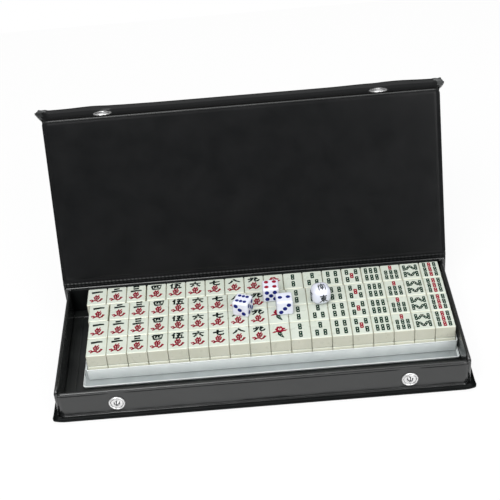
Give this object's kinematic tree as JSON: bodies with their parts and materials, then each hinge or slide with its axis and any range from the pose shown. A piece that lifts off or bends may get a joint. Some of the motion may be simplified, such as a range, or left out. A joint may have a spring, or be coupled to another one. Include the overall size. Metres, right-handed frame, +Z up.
{
  "type": "mahjong set in a folding case",
  "caption": "Flat black vinyl case with a hinged lid and snap flap, holding two layers of small mahjong tiles in clear trays, with spotted dice and a wind die.",
  "frame": {"origin": "centre of the underside of the base panel, in the plane it stands on", "axes": "+X to the right along the hinge, +Y from the front wall with the studs to the hinge, +Z up"},
  "size_m": [0.317, 0.1944, 0.1516],
  "materials": {
    "outer_vinyl": "semi-matte embossed vinyl",
    "lining_vinyl": "smooth satin vinyl",
    "floor_vinyl": "satin vinyl with ribbed welds",
    "card": "plain grey-brown card",
    "plated_steel": "bright nickel plate",
    "clear_tray": "milky translucent sheet",
    "white_dice": "polished, with filled marks",
    "ivory_tiles": "polished ivory-coloured resin with filled engraving"
  },
  "bodies": {
    "case": {"base_cover": "outer_vinyl", "base_board": "card", "floor_lining": "floor_vinyl", "weld_tabs": "floor_vinyl", "front_wall_cover": "outer_vinyl", "back_wall_cover": "outer_vinyl", "left_wall_cover": "outer_vinyl", "right_wall_cover": "outer_vinyl", "front_wall_board": "card", "back_wall_board": "card", "left_wall_board": "card", "right_wall_board": "card", "corner_seams": "outer_vinyl", "spine_cover": "outer_vinyl", "snap_studs": "plated_steel", "snap_posts": "plated_steel"},
    "hinge": {"hinge_strip": "outer_vinyl"},
    "lid": {"lid_cover": "outer_vinyl", "lid_board": "card", "lid_lining": "lining_vinyl", "flap_fold": "outer_vinyl"},
    "flap": {"flap_cover": "outer_vinyl", "flap_stiffener": "card", "flap_lining": "lining_vinyl", "snap_caps": "plated_steel", "snap_sockets": "plated_steel"},
    "lower_tray_body": {"lower_tray": "clear_tray"},
    "tile_tray_body": {"tile_tray": "clear_tray"},
    "lower_layer": {"circle_tiles": "ivory_tiles", "wind_tiles": "ivory_tiles", "dragon_tiles": "ivory_tiles", "flower_tiles": "ivory_tiles", "season_tiles": "ivory_tiles"},
    "upper_layer": {"character_1": "ivory_tiles", "character_2": "ivory_tiles", "character_3": "ivory_tiles", "character_4": "ivory_tiles", "character_5": "ivory_tiles", "character_6": "ivory_tiles", "character_7": "ivory_tiles", "character_8": "ivory_tiles", "character_9": "ivory_tiles", "bamboo_1": "ivory_tiles", "bamboo_2": "ivory_tiles", "bamboo_3": "ivory_tiles", "bamboo_4": "ivory_tiles", "bamboo_5": "ivory_tiles", "bamboo_6": "ivory_tiles", "bamboo_7": "ivory_tiles", "bamboo_8": "ivory_tiles", "bamboo_9": "ivory_tiles"},
    "dice": {"pip_die_a": "white_dice", "pip_die_b": "white_dice", "pip_die_c": "white_dice", "wind_die": "white_dice"}
  },
  "joints": [
    {"name": "lid_lay_back", "type": "hinge", "parent": "case", "child": "hinge", "pos_m": [0, 0.0619, 0.025], "axis": [-1, 0, 0], "range_deg": [0, 70.5]},
    {"name": "lid_close", "type": "hinge", "parent": "hinge", "child": "lid", "pos_m": [0, 0.0619, 0.028], "axis": [-1, 0, 0], "range_deg": [-109.5, 0]},
    {"name": "flap_fold_over", "type": "hinge", "parent": "lid", "child": "flap", "pos_m": [0, 0.10546, 0.15102], "axis": [-1, 0, 0], "range_deg": [-184, 25]},
    {"name": "lower_tray_lift", "type": "slide", "parent": "case", "child": "lower_tray_body", "axis": [0, 0, 1], "range_m": [0, 0.06]},
    {"name": "tile_tray_lift", "type": "slide", "parent": "lower_tray_body", "child": "tile_tray_body", "axis": [0, 0, 1], "range_m": [0, 0.05]},
    {"name": "lower_tiles_lift", "type": "slide", "parent": "tile_tray_body", "child": "lower_layer", "axis": [0, 0, 1], "range_m": [0, 0.05]},
    {"name": "upper_tiles_lift", "type": "slide", "parent": "lower_layer", "child": "upper_layer", "axis": [0, 0, 1], "range_m": [0, 0.05]},
    {"name": "dice_put_away", "type": "hinge", "parent": "upper_layer", "child": "dice", "pos_m": [0, -0.0103, 0.0264], "axis": [-1, 0, 0], "range_deg": [-180, 0]}
  ],
  "couplings": [
    {"joint": "dice_put_away", "follows": "lid_close", "ratio": 1.6438}
  ]
}
